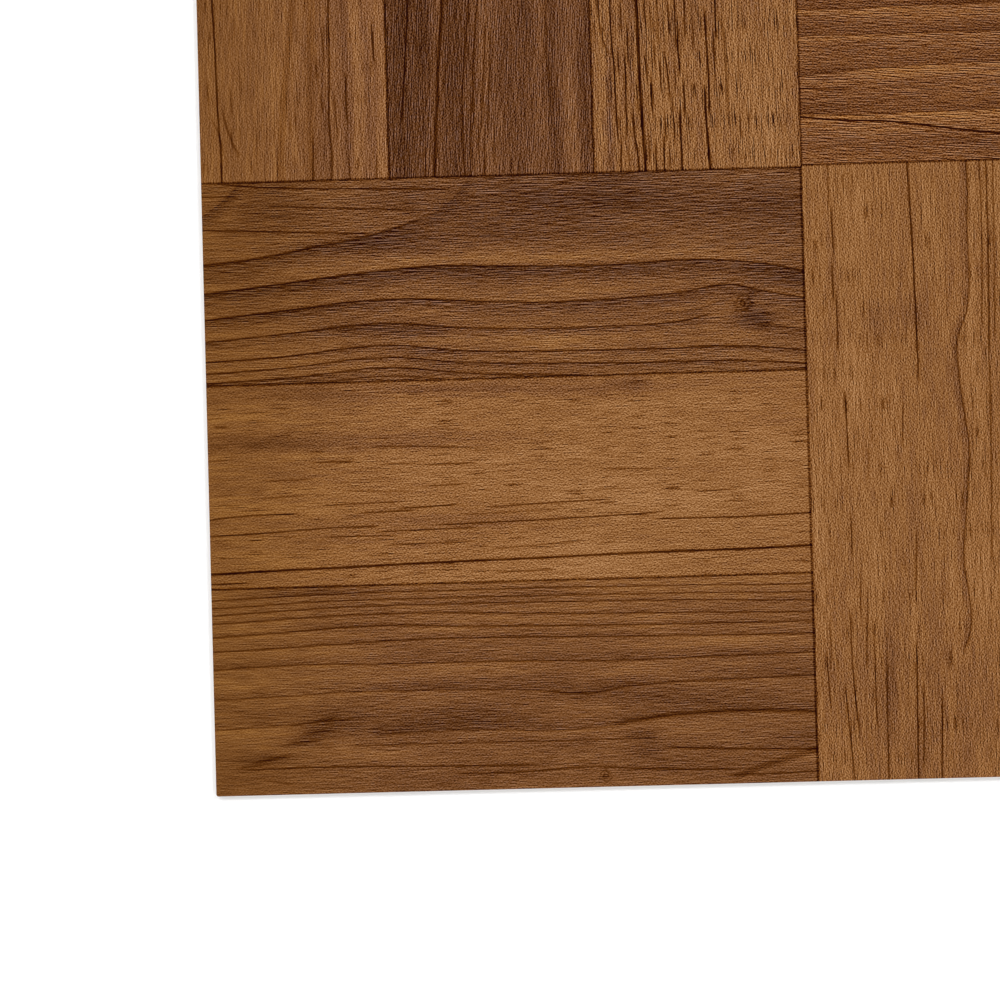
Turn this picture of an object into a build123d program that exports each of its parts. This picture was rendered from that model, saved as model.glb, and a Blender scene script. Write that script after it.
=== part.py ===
"""Self-adhesive vinyl floor tile: one flat, die-cut square of filled vinyl sheet.

The origin is at the middle of the adhesive back, with +Z up through the printed face.
"""

import os

from build123d import *

# Driving dimensions, in millimetres
TILE_SIDE = 304.8  # a 12 inch floor tile
TILE_THICKNESS = 1.2  # wear layer, print, filled base and adhesive, pressed into one sheet
CORNER_RADIUS = 0.5  # the cutting die's corners
FACE_ROLL_OVER = 0.2  # the cut draws the edge of the printed face down into a small round

# The sheet is cut square through its whole thickness.
with BuildPart() as vinyl_tile:
    with BuildSketch(Plane.XY) as cut_outline:
        RectangleRounded(TILE_SIDE, TILE_SIDE, CORNER_RADIUS)
    extrude(amount=TILE_THICKNESS)

    # Only the face's rim is rolled over. The back keeps the die's sharp arris.
    printed_face = vinyl_tile.faces().sort_by(Axis.Z)[-1]
    fillet(printed_face.edges(), radius=FACE_ROLL_OVER)

vinyl_tile.part.label = "vinyl_tile"

os.makedirs("parts", exist_ok=True)
export_step(vinyl_tile.part, "parts/vinyl_tile.step")
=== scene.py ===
"""Looks of the self-adhesive vinyl floor tile: its die-cut sheet and the parquet print on its face.

The print is two by two blocks of three strips each. Every strip is a procedural wood of its own, with growth
lines drawn from listed points. Lengths in the print are millimetres, and lengths in the scene are metres.
"""

import math
from collections import namedtuple

import bmesh
import bpy
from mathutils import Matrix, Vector


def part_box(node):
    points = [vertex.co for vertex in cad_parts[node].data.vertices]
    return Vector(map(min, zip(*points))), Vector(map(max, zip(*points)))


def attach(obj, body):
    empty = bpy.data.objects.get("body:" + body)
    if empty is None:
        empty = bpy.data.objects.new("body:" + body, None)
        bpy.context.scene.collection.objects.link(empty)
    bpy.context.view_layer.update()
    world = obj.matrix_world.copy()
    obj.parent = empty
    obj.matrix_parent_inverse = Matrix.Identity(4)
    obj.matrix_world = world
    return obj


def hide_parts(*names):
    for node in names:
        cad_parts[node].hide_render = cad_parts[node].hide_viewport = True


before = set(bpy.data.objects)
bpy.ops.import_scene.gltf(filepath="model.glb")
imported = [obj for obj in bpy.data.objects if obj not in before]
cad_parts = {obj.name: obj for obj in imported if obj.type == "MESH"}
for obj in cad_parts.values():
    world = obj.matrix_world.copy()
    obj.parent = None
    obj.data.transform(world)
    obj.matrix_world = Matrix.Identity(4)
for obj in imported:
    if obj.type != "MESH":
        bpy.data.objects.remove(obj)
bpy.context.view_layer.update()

MM = 0.001
WHITE = (1.0, 1.0, 1.0, 1.0)

# The sheet's die-cut form, as in the solid
TILE_LOW, TILE_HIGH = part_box("vinyl_tile")
CORNER_RADIUS = 0.5 * MM
FACE_ROLL_OVER = 0.2 * MM
CORNER_STEPS = 6
ROLL_STEPS = 4
# A surface is part of the printed face or of the back by how far its normal looks up or down
FACE_LOOKS_UP = 0.05
BACK_LOOKS_DOWN = -0.5
# How near to a seam a point is taken to lie on it when the sheet is cut there
CUT_TOLERANCE = 1e-7

# Where the surfaces lie on the map for baking, as shares of its side: face, edges above it, back in a corner
FACE_AT, FACE_SHARE = 0.004, 0.86
EDGES_AT, EDGE_SHARE, EDGE_STEP = 0.874, 0.010, 0.016
BACK_AT, BACK_SHARE = 0.875, 0.12

# The photograph's frame: its side, where the tile's lower left corner lies, its scale and the tile's lean
PHOTO_SIDE = 1000
TILE_CORNER_PX = (216.3, 796.7)
PX_PER_MM = 4.02
TILE_LEAN = math.radians(1.44)
# The camera's focal length and the width of its sensor, in millimetres
LENS = 100.0
SENSOR = 36.0

# The print's own frame: the point where the four blocks meet, from the tile's lower left corner, its lean,
# and where the print starts on the left, just past the cut edge
BLOCK_CROSS = (149.2, 153.0)
PRINT_LEAN = math.radians(0.20)
PRINT_LEFT = -150.0
RIGHT, UP, DOWN = (1, 0), (0, 1), (0, -1)
# How far past a strip's ends a surface still belongs to it
END_SLACK = 0.5

# Print colours by tone, from the darkest pore to the palest fibre, as sRGB values
WOOD_COLOURS = [
    (0.04, (37, 14, 2)),
    (0.10, (55, 25, 5)),
    (0.18, (80, 43, 16)),
    (0.26, (104, 62, 31)),
    (0.34, (126, 82, 47)),
    (0.42, (146, 102, 69)),
    (0.50, (166, 122, 91)),
    (0.60, (192, 148, 119)),
]
# Parts of the print that are light as a whole have more red and less blue: from which tone, over how much
# lighter at most, and how strongly; the darkest threads have one colour everywhere, so the change comes in
# over a range of the print's own tone
WARM_FROM = 0.338
WARM_MOST = 0.065
WARM_TONES = (0.10, 0.28)
WARM_RED = 0.8
WARM_BLUE = 4.2
# The sheen that the light adds to the print, taken off the written colours
SHEEN = 0.0055
# The face's finish, and the relief of its fibres
FACE_ROUGHNESS = 0.30
FACE_SPECULAR = 0.12
RELIEF_STRENGTH = 0.2
RELIEF_DEPTH = 0.03 * MM

# The print is softer and warmer towards the tile's left edge: how far from it, how much of its fine grain is
# left there, and how much blue it loses
SOFT_REACH = 50.0
SOFT_LEAST = 0.57
SOFT_WARMTH = 0.5

# Seams between strips: how far from their middle they are full and where they end, their darkness, and how
# far they waver
SEAM_CORE = 0.112
SEAM_RIM = 0.448
SEAM_DARK = 0.20
SEAM_WAVER = 0.2

# A noise of the print: its number, the length and width of one cell of it, and how much finer noise is on it
Noise = namedtuple("Noise", "number length width detail", defaults=(0.0,))
DRIFT = Noise(0, 38.0, 16.0)
RAGGED = Noise(1, 2.4, 1.0)
STREAK = Noise(2, 16.0, 0.9, 1.0)
FIBRE = Noise(3, 4.2, 0.29)
THREAD = Noise(4, 5.0, 0.5)
SAND = Noise(5, 0.45, 0.36)
PORE = Noise(6, 8.0, 0.30)
MOTTLE = Noise(7, 40.0, 5.5, 1.0)
WOBBLE = Noise(8, 3.0, 3.0)
# The numbers that each strip has for its noises, and by how many cells one number moves a noise
NUMBERS_PER_STRIP = 10
CELLS_PER_NUMBER = 37.0
# Fibres and sand have some of themselves taken off, moved sideways by this share of a cell
SIDE_STEP = 0.65
FIBRE_BALANCE = 1.0
SAND_BALANCE = 0.5
# How much stronger dark grain is than light grain
GRAIN_LEAN = 1.0
# Pores come in over these ranges of their own noise and of the mottle
PORE_RANGE = (0.20, 0.28)
PORE_MOTTLE = (-0.2, 0.1)
# How strongly the broader noises change the tone
MOTTLE_STRENGTH = 0.10
STREAK_STRENGTH = 0.08
THREAD_STRENGTH = 0.08
# How far noises move lines, patches and knots
LINE_DRIFT = 0.5
LINE_RAGGED = 0.12
PATCH_DRIFT = 2.0
KNOT_RAGGED_ALONG = 1.6
KNOT_RAGGED_ACROSS = 1.2

# A growth line's curve is drawn in this box, and the line fades out over this length at its ends
CURVE_LENGTH = 160.0
CURVE_LOW = -10.0
CURVE_HIGH = 70.0
LINE_FADE = 4.0
# How far from a line's middle its stroke is full and where it ends, as shares of its width
STROKE_FULL = 0.2
STROKE_END = 0.75
# How strong lines and shades are, how much threads break up lines, and how much grain is lost in them
LINE_STRENGTH = 1.0
SHADE_STRENGTH = 1.2
THREAD_IN_LINES = 0.8
GRAIN_LOST_IN_LINES = 2.5
# A knot's rings: their turn over one radius, and the radii between which they fade out
KNOT_TURN = 7.5
KNOT_FADE = (0.9, 1.6)

# A growth line: its points along and across the strip, its darkness and stroke width, then the length and
# darkness of the shade on its far side; a negative length puts the shade on its near side
Line = namedtuple("Line", "points dark width tail shade", defaults=(0.4, 1.0, 0.0))
# A soft oval patch: its middle along and across the strip, its half length and half width, and how much it
# darkens the strip as a shade, or lightens it as a tint
Patch = namedtuple("Patch", "along across half_length half_width amount")
# A knot: its middle along and across the strip, its radius and its darkness
Knot = namedtuple("Knot", "along across radius dark")
# A strip: the corner where its lengths start, the way of its grain, its size and the sides that have a seam;
# its tone and how red and blue it is; how its grain slants, how strong its fibres, sand and pores are, and
# how much a shade adds to its fibres; then its figure: lines, dark fibrous shades, smooth tints and knots
Strip = namedtuple(
    "Strip",
    "corner grain length width seams tone red blue slant fibre sand pore coarse lines shades tints knots",
    defaults=((),),
)

STRIPS = {}
STRIPS["a_upper"] = Strip(
    corner=(PRINT_LEFT, 0.0), grain=RIGHT, length=150.0, width=50.4, seams="near far end",
    tone=0.338, red=1.01, blue=0.94, slant=0.0, fibre=0.29, sand=0.40, pore=0.05, coarse=4.2,
    lines=[
        Line([(-2, 20.2), (8, 19.6), (20, 18), (30, 16.2), (40, 14.6), (50, 11.9), (55, 10.2)],
             0.11, 0.6, 6, 0.075),
        Line([(-2, 20.2), (8, 19.6), (20, 18), (30, 16.2)], 0.05, 0.6),
        Line([(-2, 27.5), (20, 25.3), (40, 23.3), (57, 22.1), (75, 22.7), (100, 23.2), (127, 22.5),
              (152, 26.3)], 0.14, 0.5, 6, 0.085),
        Line([(-2, 27.5), (20, 25.3), (40, 23.3), (57, 22.1), (78, 22.8)], 0.03, 0.7, 3, 0.04),
        Line([(-2, 34.2), (20, 32), (47, 30.1), (70, 31.2), (90, 31.8), (118, 30.5), (132, 28.8), (138, 30.2),
              (152, 32.9)], 0.15, 0.45, 4.5, 0.07),
        Line([(-2, 34.2), (20, 32), (47, 30.1), (66, 31)], 0.03, 0.7, 3, 0.03),
        Line([(-2, 39.7), (20, 37.8), (45, 36), (65, 37.5), (100, 38.2), (120, 37.2), (126, 35.8)],
             0.15, 0.45, 3.4, 0.055),
        Line([(-2, 44.6), (20, 43.4), (46, 41.4), (65, 43.2), (115, 44.1), (130, 43.9), (152, 46)],
             0.2, 0.4, 2, 0.04),
        Line([(-2, 47.4), (20, 46.3), (46, 44.4), (65, 46.2), (100, 47.4), (135, 47.8), (152, 49.1)],
             0.18, 0.4, 1.8, 0.04),
        Line([(-2, 49.8), (25, 48.5), (46, 47), (65, 48.8), (95, 50.4)], 0.17, 0.4, 1.6, 0.04),
        Line([(30, 50.3), (46, 49.2), (58, 50)], 0.12),
        Line([(56, 9.8), (62, 6.4), (68, -1)], 0.02, 0.8, 6, 0.05),
        Line([(-2, 8.8), (4, 6), (8, 2.6), (11, -1)], 0.015, 1, 5, 0.06),
        Line([(6, 0.4), (20, 1.5), (40, 2.3), (62, 3.1)], 0.18),
        Line([(-2, 3.4), (10, 3.5)], 0.13),
        Line([(20, 6.2), (35, 7), (55, 8.1)], 0.15),
        Line([(-2, 11.6), (20, 12.5), (42, 13.6)], 0.16, 0.45),
        Line([(114, 35), (122, 34.8), (127, 33.4), (134, 31)], 0.05, 0.6, 2, 0.04),
        Line([(138, 38.6), (152, 40.4)], 0.07, 0.6, 4, 0.05),
    ],
    shades=[
        Patch(94, 6, 34, 10, 0.10), Patch(146, 10, 18, 13, 0.065), Patch(18, 6, 13, 6, 0.05),
        Patch(48, 4, 9, 3, 0.03), Patch(46, 16, 13, 3, 0.06), Patch(22, 16, 10, 1.6, 0.04),
        Patch(72, 15.5, 22, 2.5, 0.025), Patch(38, 37.2, 16, 2, 0.035), Patch(53, 38.4, 8, 1.6, 0.05),
        Patch(56, 43.2, 8, 1.2, 0.05), Patch(56, 47.2, 8, 1.2, 0.04), Patch(138, 37.2, 4.5, 2.6, 0.12),
        Patch(136.4, 33.6, 1.3, 2.2, 0.07), Patch(124, 47.5, 10, 2.5, 0.03), Patch(30, 49.4, 30, 1.2, 0.03),
        Patch(148, 28.5, 8, 2, 0.04),
    ],
    tints=[
        Patch(95, 21.3, 45, 1.4, 0.065), Patch(50, 20.2, 12, 1.6, 0.05), Patch(88, 41, 28, 6, 0.038),
        Patch(104, 16, 20, 4, 0.015), Patch(16, 8, 18, 12, -0.026), Patch(50, 29, 22, 3, -0.012),
        Patch(96, 6, 20, 8, -0.016),
    ],
    knots=[Knot(134.7, 33.5, 1.6, 0.20)],
)
STRIPS["a_middle"] = Strip(
    corner=(PRINT_LEFT, -50.4), grain=RIGHT, length=150.0, width=50.6, seams="near far end",
    tone=0.406, red=1.007, blue=0.99, slant=-0.01, fibre=0.10, sand=0.45, pore=0.19, coarse=1.0,
    lines=[
        Line([(42, 16.2), (56, 16.5), (66, 17)], 0.14),
        Line([(27, 19.6), (36, 19.5)], 0.19),
        Line([(55, 21), (67, 20.8)], 0.2),
        Line([(45, 20.5), (53, 20.6)], 0.13),
        Line([(30, 30.5), (48, 29.9)], 0.17),
        Line([(48, 31.6), (62, 31)], 0.21),
        Line([(70, 31.9), (99, 31)], 0.2),
        Line([(-2, 33.5), (5, 32.8), (22, 32.4)], 0.17, 0.45),
        Line([(-2, 37.4), (20, 36.7), (30, 36.2), (42, 36)], 0.22),
        Line([(43, 37.4), (66, 36.8)], 0.2),
        Line([(58, 35.9), (80, 35.5), (105, 34.9), (113, 34.4)], 0.21),
        Line([(112, 36.2), (135, 36), (152, 35.5)], 0.25),
        Line([(-2, 46.8), (20, 46.4), (60, 45.3), (100, 44.6), (152, 43.7)], 0.26, 0.6, 1, 0.03),
        Line([(-2, 49.3), (10, 49.3)], 0.21),
        Line([(72, 48.2), (85, 48)], 0.18),
        Line([(38, 32.6), (52, 32.1)], 0.17),
        Line([(14, 28.2), (24, 27.8)], 0.12),
        Line([(36, 27), (50, 27.4)], 0.1),
        Line([(55, 26.2), (64, 26)], 0.15),
        Line([(15, 24), (26, 23.7)], 0.11),
        Line([(30, 38.5), (46, 38.4)], 0.16),
        Line([(45, 40.8), (66, 40.2)], 0.12),
        Line([(72, 42.2), (92, 41)], 0.12),
        Line([(64, 33.6), (88, 33)], 0.1),
        Line([(96, 28.4), (108, 28.2)], 0.1),
        Line([(122, 29.4), (131, 29.2)], 0.17),
        Line([(100, 23.2), (112, 23.4)], 0.15),
    ],
    shades=[
        Patch(72, 2.2, 36, 2.2, 0.035), Patch(54, 2, 10, 1.4, 0.05), Patch(107, 2, 5, 1.6, 0.06),
        Patch(30, 3, 12, 3, 0.04), Patch(98, 4, 12, 2, 0.04), Patch(15, 14.3, 22, 2.4, 0.06),
        Patch(60, 13.8, 25, 1.5, 0.03), Patch(48, 16.2, 16, 1.8, 0.03), Patch(55, 35.5, 30, 3.5, 0.025),
        Patch(65, 40.3, 40, 2, 0.02),
    ],
    tints=[
        Patch(0, 24, 30, 60, -0.047), Patch(10, 2.5, 20, 4, -0.025), Patch(95, 46, 18, 6, 0.055),
        Patch(105, 24, 45, 18, 0.02), Patch(128, 32, 26, 7, 0.016), Patch(58, 28, 34, 5, 0.016),
        Patch(72, 18, 20, 5, -0.012),
    ],
)
STRIPS["a_lower"] = Strip(
    corner=(PRINT_LEFT, -101.0), grain=RIGHT, length=150.0, width=54.0, seams="near end",
    tone=0.349, red=1.0, blue=0.97, slant=0.0, fibre=0.23, sand=0.32, pore=0.05, coarse=2.0,
    lines=[
        Line([(-2, 2.8), (30, 2), (60, 1.8), (152, 2.8)], 0.14, 0.4, -1.2, 0.03),
        Line([(-2, 4.8), (20, 4), (40, 3.7), (80, 3.8), (152, 4.8)], 0.13, 0.4, -1.2, 0.025),
        Line([(-2, 6.6), (20, 5.8), (40, 5.3), (80, 5.4), (152, 6.8)], 0.13, 0.4, -1.2, 0.025),
        Line([(-2, 8.7), (20, 7.9), (40, 7.4), (60, 7.4), (80, 8.2), (110, 9), (152, 9.6)],
             0.13, 0.45, -1.5, 0.03),
        Line([(-2, 12.1), (15, 11.4), (45, 10.2), (60, 10.7), (80, 11.2), (110, 11.8), (152, 11.8)],
             0.14, 0.45, -2, 0.035),
        Line([(-2, 15.6), (20, 15), (40, 14.2), (55, 13.7), (70, 13.8), (110, 14.6), (152, 15)],
             0.13, 0.45, -2.5, 0.04),
        Line([(-2, 20.1), (20, 19.3), (40, 19.6), (80, 20), (100, 20.4), (120, 20.1), (152, 19.7)],
             0.11, 0.45, -3.5, 0.045),
        Line([(-2, 27.6), (20, 27), (35, 26.3), (50, 26.4), (78, 27.1), (93, 28.3), (105, 26.7), (130, 25.7),
              (152, 25.4)], 0.08, 0.45, -5, 0.05),
        Line([(84, 27.6), (94, 28.2), (105, 26.7), (130, 25.7), (152, 25.4)], 0.04, 0.6),
        Line([(-2, 35.1), (15, 34.6), (25, 33.8), (31, 32.8)], 0.07, 0.45, -4, 0.05),
        Line([(40, 37.6), (60, 36.8), (95, 37.1), (108, 35.2), (125, 33.9), (135, 33.8), (152, 34.8)],
             0.06, 0.45, -5, 0.055),
        Line([(100, 36.4), (108, 35.2), (125, 33.9), (135, 33.8), (152, 34.8)], 0.09, 1.3),
        Line([(6, 44.6), (14, 43.6)], 0.1, 0.5),
        Line([(10, 43.3), (19, 41.8)], 0.1, 0.7),
        Line([(17, 39.4), (27, 38.2)], 0.09, 0.5),
        Line([(22, 36.8), (29, 36)], 0.09, 0.5),
        Line([(19, 34.7), (28, 33.6), (34, 33.3)], 0.1, 0.5),
        Line([(35, 40), (60, 39.9), (110, 40.2)], 0.1, 0.4, -2, 0.02),
        Line([(8, 45), (30, 45), (60, 45.4), (80, 45.9)], 0.16),
        Line([(60, 47.2), (75, 47.5), (95, 46.8), (105, 47.5), (130, 48.2)], 0.14),
        Line([(113, 42.6), (130, 43.2), (152, 43.8)], 0.15, 0.5, -2, 0.03),
        Line([(130, 50), (140, 46.5), (152, 43.6)], 0.08, 1.6),
        Line([(128, 49.6), (152, 49.4)], 0.14),
        Line([(12, 47.6), (20, 49.2)], 0.05, 0.7),
    ],
    shades=[
        Patch(30, 34.2, 5, 1.8, 0.07), Patch(26, 36.8, 4, 1.6, 0.07), Patch(22, 39.4, 5, 1.2, 0.07),
        Patch(14, 42.6, 6, 1.2, 0.05), Patch(28, 37.5, 12, 1.6, 0.03), Patch(36, 33, 6, 4, 0.05),
        Patch(15, 31.5, 18, 1.8, 0.03), Patch(62, 32.5, 20, 4, 0.05), Patch(83, 3, 9, 1.2, 0.06),
        Patch(28, 1.2, 14, 1.2, 0.05), Patch(116, 29.5, 30, 3, 0.06), Patch(107, 39.6, 4, 1.8, 0.07),
        Patch(108, 43.5, 4, 2, 0.05), Patch(145, 40.5, 12, 1.6, 0.05), Patch(112, 46, 12, 2.5, 0.03),
        Patch(55, 25, 14, 1.6, 0.03), Patch(60, 16.5, 16, 1.6, 0.03),
    ],
    tints=[
        Patch(5, 46, 14, 6, -0.045), Patch(36, 10.5, 14, 2.2, -0.025), Patch(48, 38, 16, 10, -0.014),
        Patch(18, 18, 18, 8, 0.018), Patch(72, 21, 16, 11, -0.014), Patch(50, 49, 28, 4, -0.045),
        Patch(90, 42, 24, 4, -0.025), Patch(112, 48, 40, 4, -0.036), Patch(132, 46, 12, 2, -0.03),
        Patch(104, 1.8, 50, 2.6, 0.035), Patch(120, 6, 22, 5, 0.014), Patch(95, 10.5, 28, 1.8, 0.025),
        Patch(130, 16.5, 25, 1.8, 0.03),
    ],
    knots=[Knot(97.3, 49.1, 1.15, 0.16)],
)
STRIPS["b_left"] = Strip(
    corner=(-149.5, 0.0), grain=UP, length=153.0, width=47.2, seams="start far",
    tone=0.362, red=1.0, blue=1.12, slant=0.02, fibre=0.18, sand=0.44, pore=0.13, coarse=1.0,
    lines=[
        Line([(-2, 5.4), (8, 5.4), (12, 5.1), (20, 4.8), (30, 4.7), (44, 4.3), (90, 3.4), (155, 4.6)],
             0.21, 0.5),
        Line([(7, 9.8), (10, 8.3), (13, 7.2), (18, 6.1)], 0.12, 0.6),
        Line([(9, 8.3), (13, 8.1)], 0.12, 0.5),
        Line([(8, 5.9), (12, 5), (16, 3.3)], 0.08, 0.5),
        Line([(17, 8.4), (23, 8.2)], 0.1, 0.5),
        Line([(22, 10.8), (28, 10.5)], 0.07, 0.5),
        Line([(20, 2.7), (25, 2.5)], 0.12),
        Line([(7, 14.6), (13, 14.4)], 0.1),
        Line([(-2, 19.9), (20, 21.5), (44, 24.3), (90, 27), (155, 26)], 0.055, 1.6),
        Line([(12, 23.1), (16, 22.8)], 0.07),
        Line([(13, 24.4), (17, 24.2)], 0.12),
        Line([(-2, 27.5), (15, 27.8), (44, 28.9), (90, 31), (155, 30.4)], 0.05, 2),
        Line([(-2, 28.3), (10, 28.4)], 0.15, 0.5),
        Line([(17, 30.8), (22, 30.7)], 0.14),
        Line([(25, 29.8), (30, 29.7)], 0.17),
        Line([(29, 31.8), (38, 31.3)], 0.12),
        Line([(-2, 32.7), (5, 33.1), (14, 32.5), (28, 32.9), (44, 33.2), (95, 34.6), (155, 34)],
             0.16, 0.5, -1.5, 0.03),
        Line([(12, 34.6), (16, 34.1), (21, 33.8)], 0.15),
        Line([(-2, 37.5), (6, 37.2)], 0.12),
        Line([(14, 37.1), (20, 36.8), (26, 37)], 0.16, 0.5),
        Line([(-2, 44), (6, 44)], 0.14),
        Line([(29, 44.2), (33, 44), (38, 43.9)], 0.25, 0.5),
        Line([(60, 12), (95, 13), (130, 12.4)], 0.16, 0.45),
        Line([(80, 40), (120, 41.5), (155, 41)], 0.16, 0.45),
    ],
    shades=[
        Patch(20, 36.8, 30, 1.2, 0.035), Patch(20, 41.8, 30, 1, 0.025), Patch(20, 30.8, 30, 1.2, 0.03),
    ],
    tints=[
        Patch(22, 45.6, 60, 1.6, 0.04), Patch(25, 39.3, 60, 1.6, 0.025), Patch(45, 2, 12, 4, -0.03),
    ],
)
STRIPS["b_middle"] = Strip(
    corner=(-102.3, 0.0), grain=UP, length=153.0, width=50.95, seams="start near far",
    tone=0.293, red=1.0, blue=1.05, slant=0.07, fibre=0.36, sand=0.44, pore=0.06, coarse=0.6,
    lines=[
        Line([(14, 3.6), (20, 4), (30, 4.7), (44, 5.8), (90, 8), (155, 9)], 0.16, 0.5),
        Line([(-2, 11.3), (10, 12), (20, 12.6), (30, 13.2), (44, 14.4), (90, 17.5), (155, 19)], 0.15, 0.85),
        Line([(-2, 9.2), (7, 9.3)], 0.19),
        Line([(-2, 18.7), (15, 18.7), (24, 19.1), (34, 20), (44, 21), (90, 24), (155, 25)], 0.13, 0.45),
        Line([(-2, 20.2), (10, 20.7), (20, 21)], 0.13),
        Line([(13, 21.6), (25, 21.6), (35, 22.3), (44, 23.2), (90, 26), (155, 27.5)], 0.13, 0.45),
        Line([(5, 22.4), (13, 22.6)], 0.12),
        Line([(11, 23.2), (20, 23.9), (38, 25)], 0.14),
        Line([(12, 24.8), (28, 25.9), (36, 26.3)], 0.16),
        Line([(-2, 23.6), (10, 24.2)], 0.14),
        Line([(4, 26.2), (12, 26.6)], 0.12),
        Line([(16, 41), (22, 40.6), (30, 39.9), (44, 40), (100, 42), (155, 42)], 0.05, 1),
        Line([(70, 33), (110, 35), (155, 35.5)], 0.13, 0.6),
    ],
    shades=[
        Patch(22, 4.6, 80, 5.5, 0.065), Patch(30, 9.6, 26, 1.8, 0.05), Patch(22, 16.6, 60, 2.4, 0.055),
        Patch(36, 20.5, 14, 2.4, 0.03), Patch(30, 31, 60, 2.6, 0.035), Patch(40, 35, 12, 2.2, 0.035),
        Patch(25, 41.6, 40, 1.6, 0.05), Patch(25, 49.4, 60, 1.4, 0.04),
    ],
    tints=[
        Patch(3, 9.8, 4, 1, 0.065), Patch(20, 25, 40, 3, 0.03), Patch(45, 38.5, 26, 1.2, 0.045),
        Patch(14, 46.2, 26, 1.6, 0.06),
    ],
)
STRIPS["b_right"] = Strip(
    corner=(-51.35, 0.0), grain=UP, length=153.0, width=51.6, seams="start near far",
    tone=0.394, red=1.005, blue=1.01, slant=-0.02, fibre=0.28, sand=0.50, pore=0.40, coarse=2.0,
    lines=[
        Line([(8, 6.3), (15, 6), (25, 5.8), (33, 5.3), (44, 5.2), (90, 4.2), (155, 4.8)], 0.31),
        Line([(-2, 6.8), (8, 7)], 0.24),
        Line([(25, 6.9), (30, 6.8)], 0.29),
        Line([(30, 4.2), (34, 2.9), (39, 2.3), (46, 2), (60, 1.4)], 0.19, 0.45),
        Line([(9, 8.5), (29, 8.6)], 0.29),
        Line([(27, 9.4), (36, 9.3)], 0.28),
        Line([(-2, 11.3), (6, 10.9), (10, 10.3), (15, 10.2)], 0.27, 0.45),
        Line([(14, 11.5), (22, 11.2)], 0.16),
        Line([(-2, 12.9), (8, 12.6), (15, 12.3), (22, 12.1), (44, 11.7), (90, 10.6), (155, 11)], 0.3, 0.75),
        Line([(14, 15), (21, 14.7)], 0.26),
        Line([(22, 14), (28, 13.7)], 0.22),
        Line([(-2, 15.6), (7, 15.4)], 0.26),
        Line([(16, 15.3), (24, 14.9)], 0.18),
        Line([(33, 15.2), (41, 15)], 0.14),
        Line([(-2, 17.5), (8, 17.5)], 0.28),
        Line([(8, 18), (14, 17.9)], 0.26),
        Line([(20, 17.2), (27, 17.1)], 0.24),
        Line([(32, 17), (44, 16.7)], 0.14),
        Line([(2, 14), (9, 13.8)], 0.18),
        Line([(26, 15.9), (32, 15.8)], 0.2),
        Line([(36, 13.9), (43, 13.6)], 0.2),
        Line([(1, 18.9), (6, 18.8)], 0.18),
        Line([(34, 19.6), (42, 19.4)], 0.2),
        Line([(35, 7.9), (42, 7.7)], 0.2),
        Line([(0, 9), (6, 8.8)], 0.14),
        Line([(18, 19.3), (23, 19), (29, 18.4)], 0.27),
        Line([(7, 20.2), (13, 20), (18, 19.8)], 0.25),
        Line([(21, 20.8), (26, 20.7)], 0.18),
        Line([(-2, 21.8), (15, 21.6)], 0.34, 0.5),
        Line([(14, 22.8), (22, 22.6)], 0.32),
        Line([(24, 21.9), (30, 21.6), (35, 21.7)], 0.31),
        Line([(31, 21.1), (44, 21)], 0.28),
        Line([(33, 23.4), (44, 23.4)], 0.24),
        Line([(30, 25.4), (38, 25.5)], 0.16),
        Line([(-2, 28.9), (8, 28.4), (13, 28.1), (20, 28)], 0.31, 0.6),
        Line([(14, 28.9), (22, 29), (30, 28.8), (39, 28.5)], 0.3, 0.5),
        Line([(23, 30.7), (35, 30.5)], 0.27),
        Line([(33, 31.2), (44, 31.2), (75, 30.6)], 0.33, 0.45),
        Line([(12, 33.9), (24, 33.5), (32, 33.2), (38, 32.6)], 0.1, 0.7),
        Line([(8, 36.8), (13, 36.7)], 0.19),
        Line([(24, 36.6), (31, 36.7)], 0.12),
        Line([(55, 22), (100, 20.4), (155, 20.8)], 0.2, 0.5),
        Line([(70, 36), (110, 34.8), (155, 35.4)], 0.18, 0.45),
    ],
    shades=[
        Patch(12, 4.5, 22, 0.9, 0.085), Patch(30, 10.6, 22, 0.9, 0.04), Patch(32, 13.2, 18, 1, 0.03),
        Patch(32, 19.5, 18, 1.6, 0.025), Patch(30, 25.5, 9, 1.6, 0.03),
    ],
    tints=[
        Patch(12, 41, 40, 7, 0.015), Patch(20, 17, 40, 6, 0.014), Patch(14, 3, 14, 2, 0.02),
        Patch(46, 20, 9, 34, -0.02),
    ],
)
STRIPS["c_upper"] = Strip(
    corner=(0.25, 152.6), grain=RIGHT, length=156.0, width=51.0, seams="start far",
    tone=0.398, red=1.005, blue=1.0, slant=0.0, fibre=0.18, sand=0.44, pore=0.16, coarse=1.0,
    lines=[
        Line([(-2, 9), (40, 10.2), (90, 9.4), (158, 10.6)], 0.18, 0.45),
        Line([(10, 17), (60, 17.8), (85, 17.2)], 0.18),
        Line([(-2, 25), (45, 26.6), (100, 25.8), (158, 27)], 0.24, 0.6),
        Line([(70, 33.6), (120, 34.2), (158, 33.8)], 0.18),
        Line([(-2, 40.8), (50, 41.8), (100, 41), (158, 41.6)], 0.18, 0.45),
    ],
    shades=[Patch(60, 30, 50, 2.5, 0.05)],
    tints=[Patch(110, 15, 40, 5, 0.02)],
)
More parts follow.
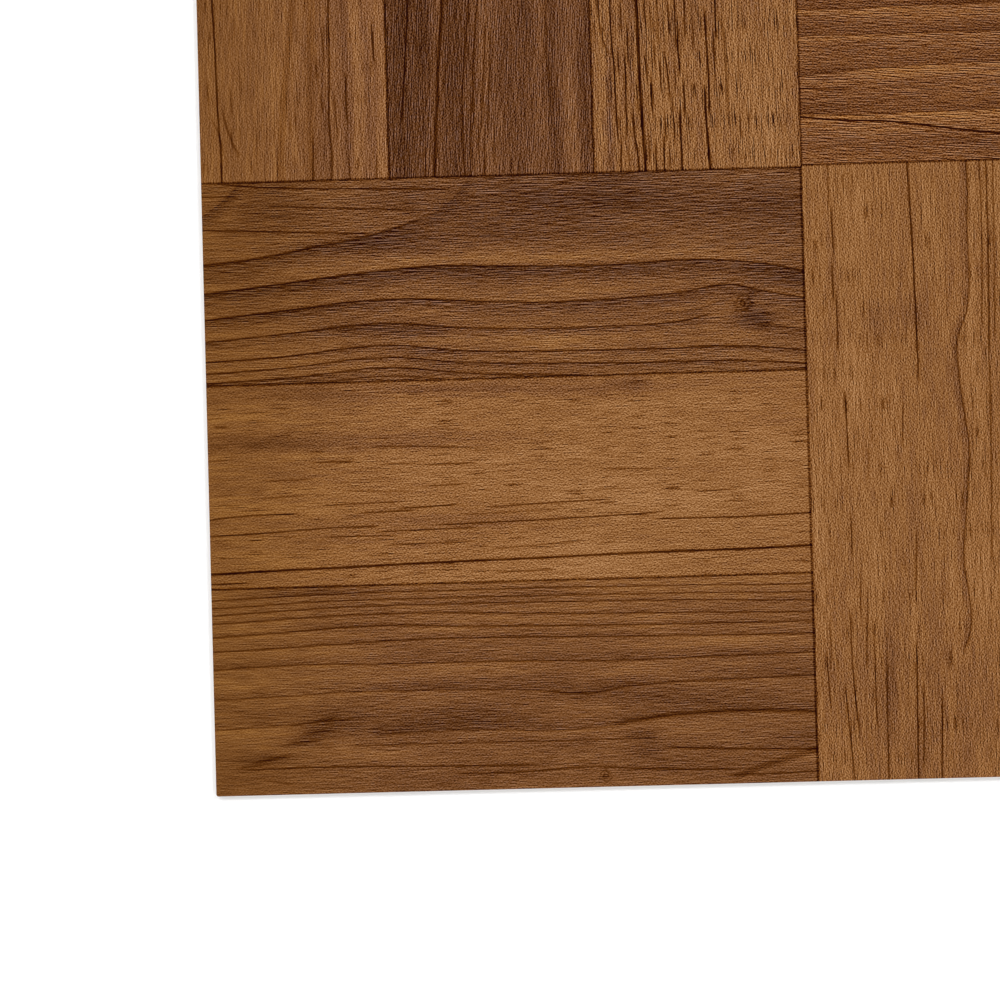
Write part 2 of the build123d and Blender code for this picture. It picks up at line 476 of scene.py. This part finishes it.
STRIPS["c_middle"] = Strip(
    corner=(0.25, 101.6), grain=RIGHT, length=156.0, width=50.55, seams="start near far",
    tone=0.346, red=1.0, blue=1.05, slant=0.0, fibre=0.29, sand=0.39, pore=0.08, coarse=4.0,
    lines=[
        Line([(-2, 7), (40, 6), (80, 7.4), (158, 6.4)], 0.14, 0.45, 3, 0.05),
        Line([(-2, 14.4), (40, 12.8), (80, 14.6), (158, 13.6)], 0.15, 0.5, 4, 0.06),
        Line([(-2, 22), (40, 19.8), (85, 22), (158, 21.4)], 0.15, 0.5, 4, 0.06),
        Line([(-2, 30), (40, 27.2), (85, 29.6), (158, 29)], 0.15, 0.5, 4, 0.06),
        Line([(-2, 36.4), (40, 33.4), (85, 36), (158, 35.8)], 0.14, 0.45, 3, 0.05),
        Line([(-2, 41.6), (40, 38.6), (85, 41), (158, 41.2)], 0.14, 0.45, 2.5, 0.05),
        Line([(-2, 45.6), (40, 42.8), (85, 45.2), (158, 45.8)], 0.13, 0.45, 2, 0.05),
    ],
    shades=[Patch(120, 10, 40, 8, 0.06)],
    tints=[Patch(60, 25, 40, 3, 0.02)],
)
STRIPS["c_lower"] = Strip(
    corner=(0.25, 51.05), grain=RIGHT, length=156.0, width=50.6, seams="start near far",
    tone=0.366, red=1.08, blue=0.82, slant=0.07, fibre=0.72, sand=0.52, pore=0.05, coarse=-3.4,
    lines=[
        Line([(-2, 12), (20, 11.8), (60, 11.6), (158, 13)], 0.05, 0.4, -5, 0.085),
        Line([(-2, 18.6), (30, 18.5), (50, 18.5), (158, 19.8)], 0.06, 0.4, -6, 0.085),
        Line([(-2, 28.6), (8, 27.9), (15, 27.3), (25, 26.9), (49, 26), (100, 25.6), (158, 26.8)],
             0.05, 0.4, -9, 0.085),
        Line([(-2, 38), (12, 38.4), (25, 38.5), (49, 38), (100, 36.8), (158, 37.4)], 0.05, 0.4, -10, 0.085),
        Line([(-2, 38.6), (8, 39.5), (13, 39.9), (20, 40.2), (28, 41.3), (42, 43.2), (49, 44), (70, 45.6)],
             0.31, 0.45),
        Line([(-2, 31.6), (6, 31.8), (12, 32.1)], 0.17),
        Line([(70, 44), (110, 43.2), (158, 44.4)], 0.12, 0.45, -5, 0.08),
    ],
    shades=[
        Patch(25, 47.5, 60, 3.5, 0.06), Patch(42, 45, 12, 2, 0.04), Patch(8, 21.5, 12, 1.8, 0.03),
        Patch(30, 30.5, 40, 1.8, 0.03), Patch(2, 42, 8, 2, 0.04), Patch(46, 11.6, 14, 1.8, 0.045),
        Patch(16, 14.4, 26, 1.6, 0.03),
    ],
    tints=[Patch(25, 39.5, 40, 1.3, 0.02)],
)
STRIPS["d_left"] = Strip(
    corner=(0.1, 0.45), grain=DOWN, length=155.0, width=51.0, seams="start near far",
    tone=0.399, red=1.005, blue=0.99, slant=0.01, fibre=0.12, sand=0.46, pore=0.19, coarse=1.0,
    lines=[
        Line([(-2, 6.5), (10, 6.6)], 0.12),
        Line([(11, 7), (22, 7.5)], 0.21, 0.45),
        Line([(25, 7), (34, 7.2)], 0.21, 0.45),
        Line([(33, 8), (46, 8.1)], 0.21, 0.45),
        Line([(57, 9.3), (75, 9.7)], 0.21, 0.45),
        Line([(88, 9.9), (97, 10)], 0.2),
        Line([(-2, 26.5), (20, 27), (40, 27.5), (54, 27.7)], 0.25, 0.45),
        Line([(-2, 41.2), (7, 41.3), (15, 40.9), (36, 40.5), (45, 37.7), (50, 37.7), (65, 39.2), (70, 39.8),
              (85, 39), (100, 37.9), (107, 38.7), (113, 39.2), (118, 38.6), (122, 37)],
             0.12, 0.5, -2.4, 0.06),
        Line([(-2, 46), (20, 46), (48, 45.4)], 0.2, 0.45),
        Line([(-2, 44.4), (18, 44.5), (40, 43.8)], 0.14),
        Line([(-2, 47.6), (22, 47.5), (44, 47)], 0.14),
        Line([(50, 45.4), (75, 45.2), (100, 44.6)], 0.14, 0.45),
        Line([(112, 9.3), (120, 9.3), (130, 9.8), (140, 10.5)], 0.21),
        Line([(130, 7.5), (157, 9.3)], 0.21),
        Line([(122, 3), (135, 3.7)], 0.17),
        Line([(114, 4), (124, 4.3)], 0.12),
        Line([(110, 13.5), (125, 13)], 0.16),
        Line([(102, 12), (112, 11.7)], 0.15),
        Line([(118, 15), (140, 15.2)], 0.17),
        Line([(125, 18), (157, 17.5)], 0.18),
        Line([(116, 18.2), (124, 18)], 0.08),
        Line([(120, 25.3), (157, 24.8)], 0.24),
        Line([(133, 31.3), (157, 30.7)], 0.22),
        Line([(130, 26.8), (150, 26.3)], 0.17),
        Line([(70, 14.9), (78, 14.4)], 0.1),
        Line([(60, 23.6), (70, 23.3)], 0.16),
        Line([(92, 26.2), (106, 25.6)], 0.15),
    ],
    shades=[
        Patch(39, 17, 4, 4, 0.04), Patch(38, 26.5, 5, 4, 0.05), Patch(128, 19, 12, 1.4, 0.04),
        Patch(124, 4, 16, 1.6, 0.03), Patch(50, 43.5, 10, 1.4, 0.03),
    ],
    tints=[
        Patch(140, 30, 24, 18, -0.035), Patch(14, 8, 14, 8, 0.014), Patch(134, 12, 16, 12, -0.014),
        Patch(32, 41.2, 14, 1.3, 0.04), Patch(90, 2, 25, 3, 0.02), Patch(55, 12, 40, 3, 0.02),
        Patch(100, 15.5, 25, 2.5, 0.02), Patch(116, 41, 10, 1.6, 0.04), Patch(100, 43, 12, 1.6, 0.04),
    ],
)
STRIPS["d_middle"] = Strip(
    corner=(51.1, 0.45), grain=DOWN, length=155.0, width=51.0, seams="start near far",
    tone=0.376, red=1.0, blue=1.03, slant=0.0, fibre=0.24, sand=0.36, pore=0.12, coarse=1.5,
    lines=[
        Line([(-2, 6.9), (50, 7.2), (100, 6.6), (157, 7.4)], 0.24, 0.9),
        Line([(-2, 15), (50, 16.2), (100, 15.4), (157, 16.4)], 0.14, 0.45, 4, 0.05),
        Line([(-2, 24), (50, 25.6), (100, 24.6), (157, 25.4)], 0.16, 0.5, 4, 0.06),
        Line([(-2, 33.4), (50, 34.6), (100, 33.8), (157, 34.8)], 0.16, 0.5, 4, 0.06),
        Line([(-2, 42), (50, 42.8), (100, 42.2), (157, 43)], 0.14, 0.45, 3, 0.05),
    ],
    shades=[Patch(70, 20, 60, 8, 0.04)],
    tints=[Patch(40, 3, 60, 3, 0.02)],
)
STRIPS["d_right"] = Strip(
    corner=(102.1, 0.45), grain=DOWN, length=155.0, width=55.0, seams="start near",
    tone=0.361, red=1.0, blue=1.05, slant=0.0, fibre=0.24, sand=0.36, pore=0.12, coarse=1.5,
    lines=[
        Line([(-2, 8), (50, 8.8), (100, 8.2), (157, 8.8)], 0.16, 0.45),
        Line([(-2, 19), (50, 20), (100, 19.4), (157, 20.4)], 0.14, 0.45, -4, 0.05),
        Line([(-2, 29), (50, 30.2), (100, 29.6), (157, 30.6)], 0.14, 0.45, -4, 0.05),
        Line([(-2, 38), (50, 39.4), (100, 38.6), (157, 39.4)], 0.16, 0.5, -4, 0.05),
        Line([(-2, 46), (50, 46.8), (100, 46.2), (157, 46.8)], 0.14, 0.45, -3, 0.05),
    ],
    shades=[Patch(30, 24, 40, 4, 0.03)],
    tints=[Patch(90, 25, 50, 10, 0.02)],
)

# The vinyl of the cut edges and of the back: its colour as sRGB values, how far its speckles differ, and its
# roughness
EDGE_VINYL = ((150, 128, 104), 14, 0.6)
BACK_VINYL = ((214, 206, 190), 8, 0.7)
SPECKLES_PER_MM = 0.6
SPECKLE_DETAIL = 3.0
SPECKLE_STOPS = (0.3, 0.7)

# Soft lamps round the tile: each one's bearing and height in degrees, and its strength
LAMPS = [
    (135, 36, 1.6),
    (45, 36, 1.3),
    (225, 36, 1.1),
    (315, 36, 0.8),
]
LAMP_SPREAD = math.radians(25)
WORLD_LIGHT = 0.12
# The floor: half its side, how far it lies below the tile, its finish, and how much it glows where it is seen
FLOOR_HALF = 4.0
FLOOR_DROP = 0.1 * MM
FLOOR_COLOUR = (0.9, 0.9, 0.9, 1.0)
FLOOR_ROUGHNESS = 0.9
FLOOR_GLOW = 0.25


class Field:
    """A number that varies over the print: an output of a shader node, with ordinary arithmetic."""

    def __init__(self, tree, socket):
        self.tree = tree
        self.socket = socket

    def math(self, operation, *others):
        node = self.tree.nodes.new("ShaderNodeMath")
        node.operation = operation
        for value, socket in zip((self, *others), node.inputs):
            plug(self.tree, value, socket)
        return Field(self.tree, node.outputs["Value"])

    def __add__(self, other):
        return self.math("ADD", other)

    def __sub__(self, other):
        return self.math("SUBTRACT", other)

    def __mul__(self, other):
        return self.math("MULTIPLY", other)

    def __truediv__(self, other):
        return self.math("DIVIDE", other)

    def ramp(self, low, high, start=0.0, end=1.0):
        """Goes smoothly from start at low to end at high."""
        node = self.tree.nodes.new("ShaderNodeMapRange")
        node.interpolation_type = "SMOOTHSTEP"
        names = ("Value", "From Min", "From Max", "To Min", "To Max")
        for name, value in zip(names, (self, low, high, start, end)):
            plug(self.tree, value, node.inputs[name])
        return Field(self.tree, node.outputs["Result"])


def plug(tree, value, socket):
    """Feeds a socket from a field, or sets it to a plain number."""
    if isinstance(value, Field):
        tree.links.new(value.socket, socket)
    else:
        socket.default_value = value


def add_up(fields):
    total = fields[0]
    for field in fields[1:]:
        total = total + field
    return total


def noise(along, across, kind, seed):
    """Smooth noise of a kind, about zero."""
    tree = along.tree
    spot = tree.nodes.new("ShaderNodeCombineXYZ")
    plug(tree, along / kind.length + CELLS_PER_NUMBER * (seed + kind.number), spot.inputs["X"])
    plug(tree, across / kind.width, spot.inputs["Y"])
    node = tree.nodes.new("ShaderNodeTexNoise")
    node.noise_dimensions = "2D"
    node.inputs["Scale"].default_value = 1.0
    node.inputs["Detail"].default_value = kind.detail
    tree.links.new(spot.outputs["Vector"], node.inputs["Vector"])
    return Field(tree, node.outputs["Fac"]) - 0.5


def new_group(name, inputs):
    """An empty node group, and its inputs as fields by name."""
    group = bpy.data.node_groups.new(name, "ShaderNodeTree")
    for label in inputs:
        group.interface.new_socket(label, in_out="INPUT", socket_type="NodeSocketFloat")
    entry = group.nodes.new("NodeGroupInput")
    return group, {label: Field(group, entry.outputs[label]) for label in inputs}


def close_group(group, **results):
    """Sends the results out of a node group, by name."""
    for label in results:
        group.interface.new_socket(label, in_out="OUTPUT", socket_type="NodeSocketFloat")
    leave = group.nodes.new("NodeGroupOutput")
    for label, field in results.items():
        group.links.new(field.socket, leave.inputs[label])
    return group


def use_group(tree, group, **values):
    """Places a node group and gives its results."""
    node = tree.nodes.new("ShaderNodeGroup")
    node.node_tree = group
    for label, value in values.items():
        plug(tree, value, node.inputs[label])
    return [Field(tree, socket) for socket in node.outputs]


def growth_line_group():
    """Darkness of a growth line: its stroke, and the shade that fades out on one side of it."""
    labels = ["along", "across", "line", "width", "dark", "tail", "shade", "start", "end"]
    group, of = new_group("growth_line", labels)
    off = of["across"] - of["line"]
    stroke = off.math("ABSOLUTE").ramp(of["width"] * STROKE_FULL, of["width"] * STROKE_END, 1.0, 0.0)
    reach = off / of["tail"]
    tail = reach.ramp(0.0, 1.0, 1.0, 0.0) * reach.math("GREATER_THAN", 0.0)
    opens = of["along"].ramp(of["start"], of["start"] + LINE_FADE)
    closes = of["along"].ramp(of["end"] - LINE_FADE, of["end"], 1.0, 0.0)
    length = opens * closes
    return close_group(group, stroke=stroke * of["dark"] * length, shade=tail * of["shade"] * length)


def soft_patch_group():
    """A soft oval patch that fades to nothing."""
    labels = ["along", "across", "mid_along", "mid_across", "half_length", "half_width", "amount"]
    group, of = new_group("soft_patch", labels)
    x = (of["along"] - of["mid_along"]) / of["half_length"]
    y = (of["across"] - of["mid_across"]) / of["half_width"]
    patch = ((x * x + y * y) * -1.0).math("EXPONENT") * of["amount"]
    return close_group(group, patch=patch)


def knot_group():
    """Darkness of a small knot: rings that fade outwards."""
    labels = ["along", "across", "mid_along", "mid_across", "radius", "dark"]
    group, of = new_group("knot", labels)
    x = of["along"] - of["mid_along"]
    y = of["across"] - of["mid_across"]
    out = (x * x + y * y).math("SQRT") / of["radius"]
    ring = (out * KNOT_TURN).math("COSINE") * -0.5 + 0.5
    darkness = ring * out.ramp(*KNOT_FADE, of["dark"], 0.0)
    return close_group(group, darkness=darkness)


GROWTH_LINE = growth_line_group()
SOFT_PATCH = soft_patch_group()
KNOT = knot_group()


def line_curve(along, points):
    """Where a drawn growth line lies across the strip, by the distance along it."""
    tree = along.tree
    node = tree.nodes.new("ShaderNodeFloatCurve")
    curve = node.mapping.curves[0]
    spots = [(max(u, 0) / CURVE_LENGTH, (v - CURVE_LOW) / (CURVE_HIGH - CURVE_LOW)) for u, v in points]
    curve.points[0].location = spots[0]
    curve.points[1].location = spots[-1]
    for spot in spots[1:-1]:
        curve.points.new(*spot)
    node.mapping.extend = "HORIZONTAL"
    node.mapping.update()
    plug(tree, along / CURVE_LENGTH, node.inputs["Value"])
    return Field(tree, node.outputs["Value"]) * (CURVE_HIGH - CURVE_LOW) + CURVE_LOW


def drawn_line(along, across, line):
    return use_group(
        along.tree, GROWTH_LINE, along=along, across=across, line=line_curve(along, line.points),
        width=line.width, dark=line.dark, tail=line.tail, shade=line.shade,
        start=line.points[0][0] - LINE_FADE / 2, end=line.points[-1][0] + LINE_FADE / 2,
    )


def soft_patch(along, across, patch):
    return use_group(
        along.tree, SOFT_PATCH, along=along, across=across, mid_along=patch.along, mid_across=patch.across,
        half_length=patch.half_length, half_width=patch.half_width, amount=patch.amount,
    )[0]


def drawn_knot(along, across, knot):
    return use_group(
        along.tree, KNOT, along=along, across=across, mid_along=knot.along, mid_across=knot.across,
        radius=knot.radius, dark=knot.dark,
    )[0]


def fine_grain(along, across, kind, seed, balance):
    """Fine noise less some of itself moved sideways, so that light spots have dark ones beside them."""
    beside = across + SIDE_STEP * kind.width
    return noise(along, across, kind, seed) - noise(along, beside, kind, seed) * balance


def wood_tone(along, across, crispness, strip, seed):
    """How light the print is over a strip, then without its grain and lines, and its fibres by themselves."""
    level = across - along * strip.slant
    drift = noise(along, across, DRIFT, seed)
    ragged = noise(along, across, RAGGED, seed)
    streak = noise(along, level, STREAK, seed)
    fibre = fine_grain(along, level, FIBRE, seed, FIBRE_BALANCE) * crispness
    thread = noise(along, level, THREAD, seed)
    sand = fine_grain(along, level, SAND, seed, SAND_BALANCE) * crispness
    mottle = noise(along, across, MOTTLE, seed)
    pore = noise(along, level, PORE, seed).ramp(*PORE_RANGE) * mottle.ramp(*PORE_MOTTLE)

    wavering = across + drift * LINE_DRIFT + ragged * LINE_RAGGED
    drifting = across + drift * PATCH_DRIFT
    knot_along = along + ragged * KNOT_RAGGED_ALONG
    knot_across = across - ragged * KNOT_RAGGED_ACROSS
    drawn = [drawn_line(along, wavering, line) for line in strip.lines]
    strokes = [stroke for stroke, shade in drawn]
    strokes += [drawn_knot(knot_along, knot_across, knot) for knot in strip.knots]
    shades = [shade for stroke, shade in drawn]
    shades += [soft_patch(along, drifting, patch) for patch in strip.shades]
    tints = [soft_patch(along, drifting, patch) for patch in strip.tints]
    stroke, shade = add_up(strokes), add_up(shades)
    grain = fibre * (shade * strip.coarse + strip.fibre) + sand * strip.sand
    grain = grain * (grain * -GRAIN_LEAN + 1.0) * (stroke * -GRAIN_LOST_IN_LINES + 1.0)
    uneven = mottle * MOTTLE_STRENGTH + streak * STREAK_STRENGTH + thread * THREAD_STRENGTH
    broad = uneven + strip.tone + add_up(tints) - shade * SHADE_STRENGTH
    tone = broad + grain - stroke * (streak + thread * THREAD_IN_LINES + LINE_STRENGTH) - pore * strip.pore
    return tone, broad, fibre


def srgb_to_linear(value):
    value = value / 255
    return value / 12.92 if value <= 0.04045 else ((value + 0.055) / 1.055) ** 2.4


def wood_colour(tone, broad, red, blue):
    """The print's colour by its tone, warmer where its broad tone is light."""
    tree = tone.tree
    node = tree.nodes.new("ShaderNodeValToRGB")
    stops = node.color_ramp.elements
    while len(stops) < len(WOOD_COLOURS):
        stops.new(1.0)
    for stop, (place, colour) in zip(stops, WOOD_COLOURS):
        stop.position = place
        stop.color = [max(0.0, srgb_to_linear(c) - SHEEN) for c in colour] + [1.0]
    tree.links.new(tone.socket, node.inputs["Fac"])
    lighter = (broad - WARM_FROM).math("MINIMUM", WARM_MOST) * tone.ramp(*WARM_TONES)
    warmth = tree.nodes.new("ShaderNodeCombineXYZ")
    plug(tree, (lighter * WARM_RED + 1.0) * red, warmth.inputs["X"])
    plug(tree, 1.0, warmth.inputs["Y"])
    plug(tree, (lighter * -WARM_BLUE + 1.0) * blue, warmth.inputs["Z"])
    tinted = tree.nodes.new("ShaderNodeVectorMath")
    tinted.operation = "MULTIPLY"
    tree.links.new(node.outputs["Color"], tinted.inputs[0])
    tree.links.new(warmth.outputs["Vector"], tinted.inputs[1])
    return tinted.outputs["Vector"]


def new_material(name):
    material = bpy.data.materials.new(name)
    material.use_nodes = True
    tree = material.node_tree
    return material, tree, tree.nodes["Principled BSDF"]


def print_point(p, q):
    """A point of the print's frame, whose origin is where the blocks meet, in the tile's frame."""
    c, s = math.cos(PRINT_LEAN), math.sin(PRINT_LEAN)
    x = TILE_LOW.x + (BLOCK_CROSS[0] + p * c - q * s) * MM
    y = TILE_LOW.y + (BLOCK_CROSS[1] + p * s + q * c) * MM
    return Vector((x, y, 0.0))


def print_axis(direction):
    """A direction of the print's frame in the tile's frame."""
    return print_point(*direction) - print_point(0, 0)


def across_of(strip):
    return DOWN if strip.grain == RIGHT else RIGHT


def measure(tree, place, origin, direction):
    """Distance of a place from an origin along a direction, in millimetres."""
    offset = tree.nodes.new("ShaderNodeVectorMath")
    offset.operation = "SUBTRACT"
    tree.links.new(place, offset.inputs[0])
    offset.inputs[1].default_value = origin
    dot = tree.nodes.new("ShaderNodeVectorMath")
    dot.operation = "DOT_PRODUCT"
    tree.links.new(offset.outputs["Vector"], dot.inputs[0])
    dot.inputs[1].default_value = direction.normalized() / MM
    return Field(tree, dot.outputs["Value"])


def strip_material(name, strip, seed):
    """The printed face within one strip."""
    material, tree, shader = new_material("print_" + name)
    place = tree.nodes.new("ShaderNodeTexCoord").outputs["Object"]
    origin = print_point(*strip.corner)
    along = measure(tree, place, origin, print_axis(strip.grain))
    across = measure(tree, place, origin, print_axis(across_of(strip)))
    from_left = measure(tree, place, print_point(PRINT_LEFT, 0), print_axis(RIGHT))
    crispness = from_left.ramp(0.0, SOFT_REACH, SOFT_LEAST, 1.0)
    blue = (crispness * SOFT_WARMTH + 1.0 - SOFT_WARMTH) * strip.blue
    tone, broad, fibre = wood_tone(along, across, crispness, strip, seed)
    sides = {"near": across, "far": across - strip.width, "start": along, "end": along - strip.length}
    wobble = noise(along, across, WOBBLE, seed) * SEAM_WAVER
    for side in strip.seams.split():
        off = sides[side].math("ABSOLUTE") + wobble
        tone = tone - off.ramp(SEAM_CORE, SEAM_RIM, SEAM_DARK, 0.0)
    tree.links.new(wood_colour(tone, broad, strip.red, blue), shader.inputs["Base Color"])
    shader.inputs["Roughness"].default_value = FACE_ROUGHNESS
    shader.inputs["Specular IOR Level"].default_value = FACE_SPECULAR
    bump = tree.nodes.new("ShaderNodeBump")
    bump.inputs["Strength"].default_value = RELIEF_STRENGTH
    bump.inputs["Distance"].default_value = RELIEF_DEPTH
    tree.links.new(fibre.socket, bump.inputs["Height"])
    tree.links.new(bump.outputs["Normal"], shader.inputs["Normal"])
    return material


def speckled_material(name, colour, speckle, roughness):
    """A plain sheet material: one colour with a fine speckle."""
    material, tree, shader = new_material(name)
    place = tree.nodes.new("ShaderNodeTexCoord").outputs["Object"]
    grains = tree.nodes.new("ShaderNodeTexNoise")
    grains.inputs["Scale"].default_value = SPECKLES_PER_MM / MM
    grains.inputs["Detail"].default_value = SPECKLE_DETAIL
    tree.links.new(place, grains.inputs["Vector"])
    ramp = tree.nodes.new("ShaderNodeValToRGB")
    shades = [[c - speckle for c in colour], [c + speckle for c in colour]]
    for stop, place_on_ramp, shade in zip(ramp.color_ramp.elements, SPECKLE_STOPS, shades):
        stop.position = place_on_ramp
        stop.color = [srgb_to_linear(c) for c in shade] + [1.0]
    tree.links.new(grains.outputs["Fac"], ramp.inputs["Fac"])
    tree.links.new(ramp.outputs["Color"], shader.inputs["Base Color"])
    shader.inputs["Roughness"].default_value = roughness
    return material


def rounded_square(inset, height):
    """Points round the tile's outline, drawn in by inset, at a height."""
    points = []
    radius = CORNER_RADIUS - inset
    for quarter in range(4):
        corner_x = TILE_HIGH.x - CORNER_RADIUS if quarter in (0, 3) else TILE_LOW.x + CORNER_RADIUS
        corner_y = TILE_HIGH.y - CORNER_RADIUS if quarter in (0, 1) else TILE_LOW.y + CORNER_RADIUS
        for step in range(CORNER_STEPS + 1):
            angle = math.pi / 2 * (quarter + step / CORNER_STEPS)
            points.append((corner_x + radius * math.cos(angle), corner_y + radius * math.sin(angle), height))
    return points


def sheet_form():
    """The closed sheet: back, cut edge, rolled-over rim and face."""
    form = bmesh.new()
    outlines = [rounded_square(0.0, TILE_LOW.z)]
    for step in range(ROLL_STEPS + 1):
        angle = math.pi / 2 * step / ROLL_STEPS
        inset = FACE_ROLL_OVER * (1 - math.cos(angle))
        outlines.append(rounded_square(inset, TILE_HIGH.z - FACE_ROLL_OVER * (1 - math.sin(angle))))
    rings = [[form.verts.new(point) for point in outline] for outline in outlines]
    form.faces.new(list(reversed(rings[0])))
    for lower, upper in zip(rings, rings[1:]):
        for i in range(len(lower)):
            j = (i + 1) % len(lower)
            form.faces.new((lower[i], lower[j], upper[j], upper[i]))
    form.faces.new(rings[-1])
    return form


def cut_along_seams(form):
    """Cuts the form along every strip's sides, so that each face lies in one strip."""
    for strip in STRIPS.values():
        corner = Vector((*strip.corner, 0.0))
        across = Vector((*across_of(strip), 0.0))
        grain = Vector((*strip.grain, 0.0))
        for point, normal in ((corner, across), (corner + across * strip.width, across), (corner, grain)):
            bmesh.ops.bisect_plane(
                form, geom=form.verts[:] + form.edges[:] + form.faces[:], dist=CUT_TOLERANCE,
                plane_co=print_point(point.x, point.y), plane_no=print_axis((normal.x, normal.y)),
            )


def strip_at(point):
    """Which strip a point of the face lies in."""
    for name, strip in STRIPS.items():
        off = point - print_point(*strip.corner)
        along = off.dot(print_axis(strip.grain).normalized()) / MM
        across = off.dot(print_axis(across_of(strip)).normalized()) / MM
        if -END_SLACK <= along <= strip.length + END_SLACK and 0.0 <= across <= strip.width:
            return name


def side_of(normal):
    """Which side of the sheet a surface belongs to; the rolled-over rim is part of the face."""
    if normal.z > FACE_LOOKS_UP:
        return "face"
    if normal.z < BACK_LOOKS_DOWN:
        return "back"
    return "edge"


def place_on_map(point, normal):
    """Where a point of the sheet lies on the map for baking: the printed face takes most of it."""
    x = (point.x - TILE_LOW.x) / (TILE_HIGH.x - TILE_LOW.x)
    y = (point.y - TILE_LOW.y) / (TILE_HIGH.y - TILE_LOW.y)
    side = side_of(normal)
    if side == "face":
        return FACE_AT + x * FACE_SHARE, FACE_AT + y * FACE_SHARE
    if side == "back":
        return BACK_AT + x * BACK_SHARE, BACK_AT + y * BACK_SHARE
    height = (point.z - TILE_LOW.z) / (TILE_HIGH.z - TILE_LOW.z)
    if abs(normal.x) > abs(normal.y):
        run, row = y, 0 if normal.x > 0 else 1
    else:
        run, row = x, 2 if normal.y > 0 else 3
    return FACE_AT + run * FACE_SHARE, EDGES_AT + row * EDGE_STEP + height * EDGE_SHARE


def lay_out(mesh):
    """Lays the sheet's surfaces out on the map for baking."""
    layer = mesh.uv_layers.new(name="OFBake")
    for face in mesh.polygons:
        for corner in face.loop_indices:
            point = mesh.vertices[mesh.loops[corner].vertex_index].co
            layer.data[corner].uv = place_on_map(point, face.normal)


def make_tile():
    form = sheet_form()
    cut_along_seams(form)
    slots = [*STRIPS, "edge", "back"]
    for face in form.faces:
        side = side_of(face.normal)
        if side == "face":
            spot = face.calc_center_median()
            side = strip_at(Vector((spot.x, spot.y, 0.0)))
        face.material_index = slots.index(side)
    mesh = bpy.data.meshes.new("tile_sheet")
    form.to_mesh(mesh)
    form.free()
    lay_out(mesh)
    tile = bpy.data.objects.new("tile_sheet", mesh)
    bpy.context.scene.collection.objects.link(tile)
    for number, (name, strip) in enumerate(STRIPS.items()):
        mesh.materials.append(strip_material(name, strip, NUMBERS_PER_STRIP * number))
    mesh.materials.append(speckled_material("cut_edge", *EDGE_VINYL))
    mesh.materials.append(speckled_material("backing", *BACK_VINYL))
    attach(tile, "root")
    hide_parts("vinyl_tile")


def make_camera():
    """A camera straight above the tile, with the photograph's frame."""
    camera = bpy.data.cameras.new("camera")
    camera.lens = LENS
    camera.sensor_width = SENSOR
    holder = bpy.data.objects.new("camera", camera)
    bpy.context.scene.collection.objects.link(holder)
    c, s = math.cos(TILE_LEAN), math.sin(TILE_LEAN)
    right = (PHOTO_SIDE / 2 - TILE_CORNER_PX[0]) / PX_PER_MM
    up = (TILE_CORNER_PX[1] - PHOTO_SIDE / 2) / PX_PER_MM
    x = TILE_LOW.x + (right * c + up * s) * MM
    y = TILE_LOW.y + (up * c - right * s) * MM
    frame_width = PHOTO_SIDE / PX_PER_MM * MM
    holder.location = (x, y, TILE_HIGH.z + frame_width * LENS / SENSOR)
    holder.rotation_euler = (0.0, 0.0, -TILE_LEAN)
    bpy.context.scene.camera = holder


def make_light():
    """The lamps, and a dim world that is white where the camera sees it."""
    for number, (bearing, height, strength) in enumerate(LAMPS):
        lamp = bpy.data.lights.new(f"lamp_{number}", "SUN")
        lamp.energy = strength
        lamp.angle = LAMP_SPREAD
        holder = bpy.data.objects.new(f"lamp_{number}", lamp)
        bpy.context.scene.collection.objects.link(holder)
        turn, lift = math.radians(bearing), math.radians(height)
        towards = Vector((math.cos(turn) * math.cos(lift), math.sin(turn) * math.cos(lift), math.sin(lift)))
        holder.rotation_euler = towards.to_track_quat("Z", "Y").to_euler()
    world = bpy.data.worlds.new("world")
    bpy.context.scene.world = world
    world.use_nodes = True
    tree = world.node_tree
    background = tree.nodes["Background"]
    seen = Field(tree, tree.nodes.new("ShaderNodeLightPath").outputs["Is Camera Ray"])
    background.inputs["Color"].default_value = WHITE
    tree.links.new(seen.ramp(0.0, 1.0, WORLD_LIGHT, 1.0).socket, background.inputs["Strength"])


def make_floor():
    """A wide pale floor just below the tile, which glows a little where the camera sees it."""
    mesh = bpy.data.meshes.new("floor")
    height = TILE_LOW.z - FLOOR_DROP
    corners = [(x * FLOOR_HALF, y * FLOOR_HALF, height) for x, y in ((-1, -1), (1, -1), (1, 1), (-1, 1))]
    mesh.from_pydata(corners, [], [(0, 1, 2, 3)])
    floor = bpy.data.objects.new("floor", mesh)
    bpy.context.scene.collection.objects.link(floor)
    material, tree, shader = new_material("floor")
    shader.inputs["Base Color"].default_value = FLOOR_COLOUR
    shader.inputs["Roughness"].default_value = FLOOR_ROUGHNESS
    shader.inputs["Specular IOR Level"].default_value = 0.0
    seen = Field(tree, tree.nodes.new("ShaderNodeLightPath").outputs["Is Camera Ray"])
    shader.inputs["Emission Color"].default_value = WHITE
    tree.links.new((seen * FLOOR_GLOW).socket, shader.inputs["Emission Strength"])
    mesh.materials.append(material)


make_camera()
make_light()
make_floor()
make_tile()

bpy.context.scene.view_settings.view_transform = "Standard"
